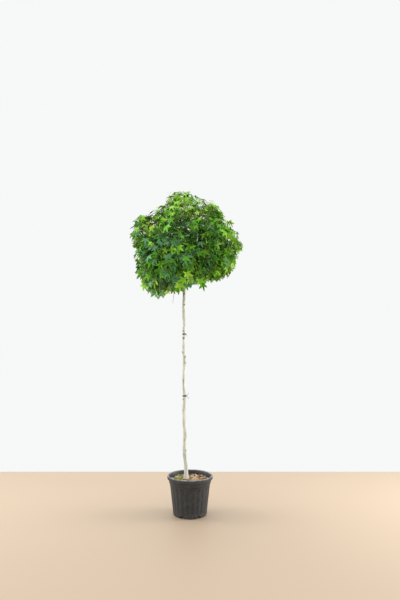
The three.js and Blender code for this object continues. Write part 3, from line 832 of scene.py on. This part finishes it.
def inWedge(mass, point, margin):
    out = point - crown["centre"]
    for j, other in enumerate(massWays):
        if j != mass:
            apart = massWays[mass] - other
            if out.dot(apart) / apart.length <= margin:
                return False
    return True


def bezier(a, b, c, d, share):
    rest = 1 - share
    return a * rest ** 3 + b * 3 * rest * rest * share + c * 3 * rest * share * share + d * share ** 3


def boughLine(mass):
    share = (mass + 0.5) / crown["masses"]
    root = stemPoint(mix(crown["forkLow"], crown["forkHigh"], share) - trunk["soil"])
    way = massWays[mass]
    azimuth = math.atan2(way.y, way.x)
    end = crown["centre"] + way * crownReach(way) * bough["reach"]
    length = (end - root).length
    leaving = direction(azimuth, math.sin(math.radians(mix(20, 72, share))))
    arriving = (way + up * 0.35).normalized()
    return root, root + leaving * length * 0.36, end - arriving * length * 0.3, end


def limbRadius(share):
    return mix(bough["rootRadius"], bough["endRadius"], share ** 0.8)


def entryShare(mass, line):
    entry = 0.3
    for i in range(61):
        if not inWedge(mass, bezier(*line, i / 60), limbRadius(i / 60) + 1):
            entry = max(entry, (i + 1) / 60)
    return min(entry, 0.7)


def rodLength(rod):
    return sum((b - a).length for a, b in zip(rod, rod[1:]))


# place and direction so far along a rod
def onRod(rod, share):
    lengths = len(rod) - 1
    k = min(int(share * lengths), lengths - 1)
    return rod[k].lerp(rod[k + 1], share * lengths - k), (rod[k + 1] - rod[k]).normalized()


# a direction at an angle to a limb, so far round it
def besideLimb(along, lean, around):
    side, across = limbFrame(along)
    return along * math.cos(lean) + (side * math.cos(around) + across * math.sin(around)) * math.sin(lean)


# a curve between two points, through a third that lies off the line at its share
def bowedRod(start, end, share, offset, steps):
    return smoothRod([start, start.lerp(end, share) + offset, end], steps)


# three points eased into one curve
def smoothRod(rod, steps):
    a, b, c = rod
    bend = b * 2 - (a + c) * 0.5
    shares = [k / steps for k in range(steps + 1)]
    return [a * (1 - t) ** 2 + bend * 2 * t * (1 - t) + c * t * t for t in shares]


def outlineWay(angle, lean):
    flat, deep = math.radians(angle), math.radians(lean)
    return Vector((math.cos(flat) * math.cos(deep), math.sin(deep), math.sin(flat) * math.cos(deep)))


# places dealt out evenly over the ball, of which the nearest to each tuft is moved to it
def twigEnds():
    count = crown["masses"] * twig["perMass"]
    ways = [direction(2.3 + i * goldenAngle, mix(-0.93, 1, (i + 0.5) / count)) for i in range(count)]
    tuftRooms = {}
    for angle, lean, room in crown["tufts"]:
        towards = outlineWay(angle, lean)
        nearest = min(range(count), key=lambda i: ways[i].angle(towards))
        ways[nearest] = towards
        tuftRooms[nearest] = room
    ends = []
    for i, way in enumerate(ways):
        if i in tuftRooms:
            reach = crownReach(way) - tuftRooms[i]
        else:
            reach = (crownReach(way) - twig["room"] * mix(0.8, 0.3, max(0, way.z) ** 2)) * twig["depths"][i % 3]
        mass = max(range(crown["masses"]), key=lambda j: massWays[j].dot(way))
        ends.append((way, reach, mass))
    return ends


# boughs, twigs and shoots as lines of places; a shoot is marked where it keeps all its leaves
def growWood():
    boughs, twigs, shoots = [], [], []
    ends = twigEnds()
    for mass in range(crown["masses"]):
        draw = seeded(crown["seeds"][mass])
        line = boughLine(mass)
        boughs.append([bezier(*line, k / bough["steps"]) for k in range(bough["steps"] + 1)])
        start = entryShare(mass, line)
        stem = [bezier(*line, mix(start, 1, k / 3)) for k in range(4)]
        own = []
        for way, reach, owner in ends:
            if owner != mass:
                continue
            away = massWays[mass].angle(way) / math.radians(44)
            root = mix(0.94, 0.12, min(1, away)) + (draw() - 0.5) * 0.04
            base, along = onRod(stem, root)
            for pull in (0, 0.15, 0.3, 0.45):
                aim = way.lerp(massWays[mass], pull).normalized()
                tip = crown["centre"] + aim * reach
                elbow = base.lerp(tip, 0.5) + along * (tip - base).length * 0.1
                if inWedge(mass, elbow, 5) and inWedge(mass, tip, 5):
                    own.append(smoothRod([base, elbow, tip], twig["steps"]))
                    break
        twigs += own
        for rod in [stem] + own:
            shoots += [(side, False) for side in growShoots(mass, rod, draw)]
    wood = [p for rod in twigs for p in rod]
    for angle, lean, room in crown["tips"]:
        way = outlineWay(angle, lean)
        tip = crown["centre"] + way * (crownReach(way) - room)
        shoots.append((bowedRod(nearestPlace(wood, tip, 60), tip, 0.5, up * 8, shoot["steps"]), True))
    return boughs, twigs, shoots + fillOpenPlaces(wood, shoots)


# the place on the wood that is nearest to a tip but no nearer than so much
def nearestPlace(wood, tip, least):
    return min((p for p in wood if (p - tip).length > least), key=lambda p: (p - tip).length)


# shoots from the nearest twig into each bare place of the shell
def fillOpenPlaces(wood, shoots):
    taken = np.array([p[:] for rod, _ in shoots for p in rod[2:]])
    found = []
    for i in range(shoot["fillPlaces"]):
        way = direction(1.1 + i * goldenAngle, mix(-0.85, 1, (i + 0.5) / shoot["fillPlaces"]))
        tip = crown["centre"] + way * crownReach(way) * shoot["fillReach"]
        if np.linalg.norm(taken - np.array(tip[:]), axis=1).min() < shoot["fillApart"]:
            continue
        found.append((bowedRod(nearestPlace(wood, tip, 45), tip, 0.55, up * 6, shoot["steps"]), False))
        taken = np.vstack([taken, tip[:]])
    return found


# side shoots in a spiral up one twig, and one more that carries its tip on
def growShoots(mass, rod, draw):
    found = []
    length = rodLength(rod)
    count = shoot["perTwig"] if length > 150 else max(3, int(length / 30))
    turn = draw() * math.tau
    for k in range(count + 1):
        last = k == count
        base, along = onRod(rod, 0.97 if last else mix(0.25, 0.95, (k + draw() * 0.6) / count))
        outward = (base - crown["centre"]).normalized()
        for attempt in range(6):
            lean = math.radians(shoot["tipLean"] if last else mix(*shoot["lean"], draw()))
            way = besideLimb(along, lean, turn + k * goldenAngle + attempt * 1.1)
            way = (way + outward * shoot["outwards"] + up * shoot["upwards"]).normalized()
            size = mix(shoot["shortest"], shoot["longest"], draw()) * (0.8 if last else 1) * 0.9 ** attempt
            tip = base + way * size
            if reachShare(tip) < shoot["limit"] and inWedge(mass, tip, 2):
                found.append(bowedRod(base, tip, 0.55, (along - up * 0.4) * size * 0.07, shoot["steps"]))
                break
    return found


# sprays: colour of the face and the back, and how far single leaves are darker and lighter; the blue-green sprays
# are a painted sheen of the sky reflected on leaves
leafColours = {
    "young": ("#8AB42C", "#98B44E", 0.72, 1.48), "sunlit": ("#6CA426", "#86AC48", 0.6, 1.84),
    "full": ("#498C20", "#699840", 0.43, 1.95), "skySheen": ("#58925F", "#7AA87E", 0.55, 1.7),
    "shaded": ("#17560A", "#306422", 0.3, 1.9),
}


# five pointed lobes about the palm: rim, midrib and palm points, and the faces of both sides
def leafTemplate():
    half = [(8, 0.79), (15, 0.6), (26, 0.4), (37, 0.58), (44, 0.78), (52, 0.95), (60, 0.76), (67, 0.56),
            (78, 0.37), (94, 0.54), (104, 0.72), (115, 0.5), (138, 0.26), (171, 0.18)]
    rim = [(-a, r) for a, r in reversed(half)] + [(0, 1)] + half
    ribs = [(-104, 0.38), (-52, 0.5), (0, 0.52), (52, 0.5), (104, 0.38)]
    flat = [polar(*p) for p in rim]
    inner = [polar(*p) for p in ribs] + [(0, 0)]
    count, inside = len(rim), len(inner)
    palm = count + inside - 1
    faces = []
    bounds = [1, 5, 11, 17, 23, 27]
    for rib, first, last in zip(range(count, palm), bounds, bounds[1:]):
        faces += [(rib, i, i + 1) for i in range(first, last)]
        faces += [(palm, first, rib), (palm, rib, last)]
    faces += [(palm, 0, 1), (palm, count - 1, 0), (palm, count - 2, count - 1)]
    under = [tuple((v + inside if v >= count else v) for v in reversed(f)) for f in faces]
    points = np.array(flat + inner + inner)
    lift = np.array([0] * count + [0.5] * inside + [-0.5] * inside)
    return points, lift, faces, under, count


leafPoints, leafLift, leafTop, leafUnder, rimCount = leafTemplate()


# world places of one leaf's points, and where its palm lies
def leafShape(root, stalkWay, tipWay, sky, length, stalk, droop, fold):
    face = (sky - tipWay * sky.dot(tipWay)).normalized()
    side = face.cross(tipWay)
    neck = root + stalkWay * stalk
    palm = neck + tipWay * length * leaf["palm"]
    # both halves fold up about the midrib, the lobes droop, and the veins lie sunk
    x = leafPoints[:, 0] * length
    y = leafPoints[:, 1] * length * math.cos(fold)
    radius = np.hypot(leafPoints[:, 0], leafPoints[:, 1])
    z = -droop * length * radius ** 1.6 + leafLift * leaf["thickness"]
    z += np.abs(leafPoints[:, 1]) * length * math.sin(fold)
    z[rimCount:] -= leaf["veinDepth"] * length
    points = (np.array(palm[:]) + x[:, None] * np.array(tipWay[:]) + y[:, None] * np.array(side[:])
              + z[:, None] * np.array(face[:]))
    return points, neck


def growLeaves(shoots):
    draw = seeded(leaf["seed"])

    def between(least, most):
        return mix(least, most, draw())

    def jitter():
        return Vector((draw() - 0.5, draw() - 0.5, 0))

    low, high = np.array(cadBox[0]) * 1000 + 1.5, np.array(cadBox[1]) * 1000 - 1.5
    leaves, stalks = [], []
    palms = np.full((1, 3), 1e6)
    for rod, full in shoots:
        out = rod[-1] - crown["centre"]
        share = reachShare(rod[-1])
        spray = sprayColour(out, share, draw)
        # sprays stand out unevenly, and sky shows through the upper half
        limit = 1 if full else mix(leaf["innerLimit"], 1.01, draw() ** 0.6)
        kept = mix(leaf["keepInside"], leaf["keepOutside"], clamp((share - 0.62) / 0.3))
        keep = 1 if full else mix(leaf["keepBelow"], kept, clamp(out.z / 160 + 0.35))
        grade = mix(leaf["footSize"], leaf["topSize"], clamp(out.z / 700 + 0.4))
        hang = clamp(out.z / 260 - 0.3)
        nodes = max(3, round(rodLength(rod) / shoot["leafEvery"]))
        turn = draw() * math.tau
        for k in range(nodes):
            if draw() > keep:
                continue
            root, along = onRod(rod, 1 - (0.45 if full else 0.72) * k / nodes)
            outward = (root - crown["centre"]).normalized()
            for attempt in range(6):
                lean = math.radians(mix(*leaf["lean"], min(1, k / 3 + draw() * 0.35)))
                stalkWay = besideLimb(along, lean, turn + (k + attempt * 0.4) * goldenAngle)
                stalkWay = (stalkWay + up * 0.2).normalized()
                blade = between(leaf["shortest"], leaf["longest"]) * grade * (0.7 if k == 0 else 1)
                blade *= 0.95 ** attempt
                stalk = between(leaf["stalkShortest"], leaf["stalkLongest"]) * (0.6 if k == 0 else 1)
                # blades hang at the sides, and on top they spread like an umbrella
                sink = mix(between(0.5, 1.7) + max(0, outward.z), between(0.15, 0.8), hang) + attempt * 0.15
                tipWay = (stalkWay + outward * 0.35 * (1 - hang) + jitter() * 0.9 - up * sink).normalized()
                tilt = jitter() * mix(1.9, 0.8, hang)
                sky = up * between(0.4, 1.1) + outward * between(0.3, 1.3) * (1 - hang * 0.7) + tilt
                droop = mix(0.05, 0.42, draw() ** 1.2) + 0.25 * hang
                fold = mix(leaf["flattest"], leaf["mostFolded"], draw() ** 1.3)
                points, neck = leafShape(root, stalkWay, tipWay, sky, blade, stalk, droop, fold)
                if (reachShares(points[:rimCount]).max() > limit or (points.min(axis=0) < low).any()
                        or (points.max(axis=0) > high).any()
                        or (np.linalg.norm(palms - points[-1], axis=1) < leaf["apart"]).any()):
                    continue
                # the outermost leaves stand apart, with gaps between them
                if not full and reachShare(points[-1]) > leaf["edgeFrom"] and draw() > leaf["keepEdge"]:
                    break
                palms = np.vstack([palms, points[-1]])
                # leaves farther in are darker: painted shade for the crown's inner shadow, on top of shade leaves
                # being a deeper green
                leaves.append((points, spray, draw() ** 1.2 * mix(0.3, 1, clamp((share - 0.45) / 0.35))))
                stalks.append([root, root.lerp(neck, 0.55) + up * stalk * 0.05, neck])
                break
    tips = [p for rod, _ in shoots for p in rod[2:]]
    for palm, tipWay, sky, blade, fold, colour in singleLeaves:
        tipWay = Vector(tipWay).normalized()
        neck = Vector(palm) - tipWay * blade * leaf["palm"]
        points, neck = leafShape(neck, tipWay, tipWay, Vector(sky), blade, 0, 0.1, fold)
        root = min((p for p in tips if p.z > neck.z - 10), key=lambda p: (p - neck).length)
        leaves.append((points, colour, 0.7))
        stalks.append([root, root.lerp(neck, 0.55) + up * 5, neck])
    return leaves, stalks


# leaves that stand alone: palm, way of the tip, way of the face, blade length, fold and colour
singleLeaves = [
    ((-26, -312, 1868), (0.35, -0.3, -1), (0.5, -1, 0.5), 60, 0.55, "young"),
    ((-44, -300, 1826), (-0.35, -0.3, -1), (-0.45, -1, 0.35), 58, 0.5, "sunlit"),
    ((-78, -286, 1790), (0.1, -0.35, -1), (0.3, -1, 0.3), 60, 0.45, "young"),
    ((72, -236, 1822), (0.3, -0.2, -1), (0.35, -1, 0.3), 62, 0.6, "sunlit"),
    ((98, -226, 1796), (0.15, -0.1, -1), (-0.3, -1, 0.2), 58, 0.7, "full"),
    ((-92, -120, 1776), (0.1, -0.1, -1), (0.2, -1, 0.2), 58, 0.4, "full"),
    ((-256, -150, 1752), (0.15, 0, -1), (-0.7, -0.7, 0.1), 72, 1.0, "skySheen"),
    ((366, -20, 2104), (0.2, 0, -1), (0.9, -0.5, 0.3), 62, 0.9, "sunlit"),
    ((308, -60, 2286), (0.6, 0, -0.8), (0.5, -0.3, 0.8), 50, 0.8, "young"),
]
# shoots without leaves that hang out of the hem: from and to
bareShoots = [((-122, -90, 1800), (-134, -100, 1657)), ((-292, -60, 1800), (-306, -70, 1702))]
# a bare twig that shows between the top and the left shoulder
bareTwigs = [((-250, -50, 2372), (-352, -90, 2304))]

# shares of the sprays in each colour above, by place in the crown: painted light and shade, the brighter colours
# going mostly to the top, the sides and the hem, and the darker ones to the front, the back and the inside
sprayShares = {
    "top": (0.28, 0.40, 0.28, 0, 0.04), "upperSide": (0.30, 0.40, 0.24, 0.02, 0.04),
    "upperFace": (0.02, 0.12, 0.36, 0.04, 0.46), "midSide": (0.10, 0.42, 0.30, 0.18, 0),
    "midFace": (0.01, 0.17, 0.38, 0.23, 0.21), "hem": (0.08, 0.38, 0.17, 0.37, 0),
    "inside": (0, 0.05, 0.32, 0.02, 0.61),
}


# deals each spray a colour by its place: painted shade on the crown's front, back and inside, painted light on
# its top and sides
def sprayColour(out, share, draw):
    height = out.z / 430
    facing = abs(out.y) / max(1, math.hypot(out.x, out.y))
    if share < 0.62:
        place = "inside"
    elif height > 0.5:
        place = "top"
    elif height > 0.05:
        place = "upperFace" if facing > 0.6 else "upperSide"
    elif height > -0.45:
        place = "midFace" if facing > 0.6 else "midSide"
    else:
        place = "hem"
    chance = draw()
    for colour, part in zip(leafColours, sprayShares[place]):
        chance -= part
        if chance <= 0:
            return colour
    return "full"


# pale lines from the palm out along the five lobes, drawn on the leaf's own map
def veinMask(material):
    flat = addNode(material, "UVMap", {"uv_map": "UVMap"})
    centred = addNode(material, "VectorMath", {"operation": "SUBTRACT", "i1": (0.5, 0.5, 0)}, i0=flat)
    parts = addNode(material, "SeparateXYZ", None, Vector=centred)
    mirrored = addNode(material, "Math", {"operation": "ABSOLUTE"}, i0=parts.outputs["Y"])
    nearest = None
    for angle in (0, 52, 104):
        cosine, sine = polar(angle, 1)
        off = addNode(material, "Math", {"operation": "MULTIPLY", "i1": -sine}, i0=parts.outputs["X"])
        off = addNode(material, "Math", {"operation": "MULTIPLY_ADD", "i1": cosine}, i0=mirrored, i2=off)
        gap = addNode(material, "Math", {"operation": "ABSOLUTE"}, i0=off)
        if nearest is not None:
            gap = addNode(material, "Math", {"operation": "MINIMUM"}, i0=nearest, i1=gap)
        nearest = gap
    width = leaf["veinWidth"]
    return addNode(material, "MapRange", {"range": (width, width * 0.3)}, Value=nearest)


# a thin blade with a wax cuticle: soft gloss, paler veins, mottled by 15 mm
def leafMaterial(name, colour, roughness, veinShare, darkest, lightest):
    material, shader = newMaterial(name, roughness, IOR=1.45, Specular_IOR_Level=0.08)
    coords = addNode(material, "TexCoord").outputs["Object"]
    mottle = addNode(material, "TexNoise", {"Scale": 70, "Detail": 3}, Vector=coords)
    # each leaf's tone sets its lightness, a wide spread that is partly the leaf's own tone and partly painted
    # highlight and shade
    tone = addNode(material, "Attribute", {"attribute_name": "tone"}).outputs["Fac"]
    light = addNode(material, "MapRange", {"range": (0, 1, darkest, lightest)}, Value=tone)
    patch = addNode(material, "MapRange", {"range": (0.3, 0.7, 0.88, 1.1)}, Value=mottle)
    level = addNode(material, "Math", {"operation": "MULTIPLY"}, i0=light, i1=patch)
    # leaves drift a little between yellow-green and blue-green
    drift = addNode(material, "MapRange", {"range": (0, 1, 0.508, 0.494)}, Value=tone)
    plain = addNode(material, "HueSaturation", {"Color": colour}, Hue=drift, Value=level)
    vein = veinMask(material)
    strength = addNode(material, "Math", {"operation": "MULTIPLY", "i1": veinShare}, i0=vein)
    veined = addNode(material, "Mix", {"data_type": "RGBA", "i7": leaf["vein"]}, i0=strength, i6=plain)
    link(veined, shader, "Base Color")
    link(addNode(material, "Bump", {"Strength": 0.3, "Distance": 0.0008}, Height=vein), shader, "Normal")
    return material


def joinedTubes(name, limbs, sides, material, relief=None, scar=None):
    points, faces = [], []
    for places, radii in limbs:
        more, quads = tubeArrays(places, radii, sides, len(points), relief)
        points += more
        faces += quads
    marks = {"scar": [scar(p) for p in points]} if scar else None
    return meshPiece(name, inMetres(points), faces, [material], 60, marks=marks)


def makeBoughs(boughs):
    bark = barkMaterial("boughBark", "#A79E82", "#857B61", "#5C5340", green="#7F8458")
    limbs = [(places, [limbRadius(k / bough["steps"]) for k in range(len(places))]) for places in boughs]
    piece = joinedTubes("boughs", limbs, bough["sides"], bark,
                        lambda place, outward: 0.35 * noise.noise(place / 9 + outward * 2),
                        lambda point: max(0, noise.noise(point / 16)))
    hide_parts(*["bough_%d" % (i + 1) for i in range(crown["masses"])])


def makeTwigs(twigs, shoots, stalks):
    limbs = [(rod, taper(rod, twig["rootRadius"], twig["tipRadius"])) for rod in twigs]
    for start, end in bareTwigs:
        rod = bowedRod(Vector(start), Vector(end), 0.5, up * 6, 6)
        limbs.append((rod, taper(rod, 2.6, 1.6)))
    twigPiece = joinedTubes("twigs", limbs, 6, patchyMaterial("twigBark", "#4C4A30", "#7A7852", 90))
    rods = [rod for rod, _ in shoots]
    rods += [bowedRod(Vector(start), Vector(end), 0.5, east * 4, shoot["steps"]) for start, end in bareShoots]
    limbs = [(rod, taper(rod, shoot["rootRadius"], shoot["tipRadius"])) for rod in rods]
    shootPiece = joinedTubes("shoots", limbs, 5, patchyMaterial("greenShoots", "#54662C", "#808E46", 90))
    limbs = [(line, [leaf["stalkRadius"] * share for share in (1.2, 0.9, 0.9)]) for line in stalks]
    stalkGreen = patchyMaterial("leafStalkGreen", "#7E9A3C", "#A9B85E", 120)
    stalkPiece = joinedTubes("leafStalks", limbs, 3, stalkGreen)
    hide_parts(*["foliage_%d" % (i + 1) for i in range(crown["masses"])])


# all leaves of one colour, each with its face and its back, and its own tone
def makeSprays(spray, chosen):
    face, back, darkest, lightest = leafColours[spray]
    size = len(leafPoints)
    points = np.concatenate([p for p, _ in chosen]) * mm
    faces = [[v + n * size for v in f] for n in range(len(chosen)) for f in leafTop + leafUnder]
    slots = ([0] * len(leafTop) + [1] * len(leafUnder)) * len(chosen)
    uv = np.tile(leafPoints * 0.45 + 0.5, (len(chosen), 1))
    tones = np.repeat([tone for _, tone in chosen], size)
    upper = leafMaterial(spray + "LeafFace", face, 0.42, 0.4, darkest, lightest)
    lower = leafMaterial(spray + "LeafBack", back, 0.62, 0.6, darkest, lightest)
    piece = meshPiece(spray + "Leaves", points, faces, [upper, lower], 55, slots, uv, {"tone": tones})
    print(spray, len(chosen), "leaves", len(faces), "faces")


def makeCrown():
    boughs, twigs, shoots = growWood()
    makeBoughs(boughs)
    print("boughs", len(boughs), "twigs", len(twigs), "shoots", len(shoots))
    leaves, stalks = growLeaves(shoots)
    print("leaves", len(leaves))
    makeTwigs(twigs, shoots, stalks)
    for spray in leafColours:
        makeSprays(spray, [(points, tone) for points, colour, tone in leaves if colour == spray])


makeCrown()
print("crown made")
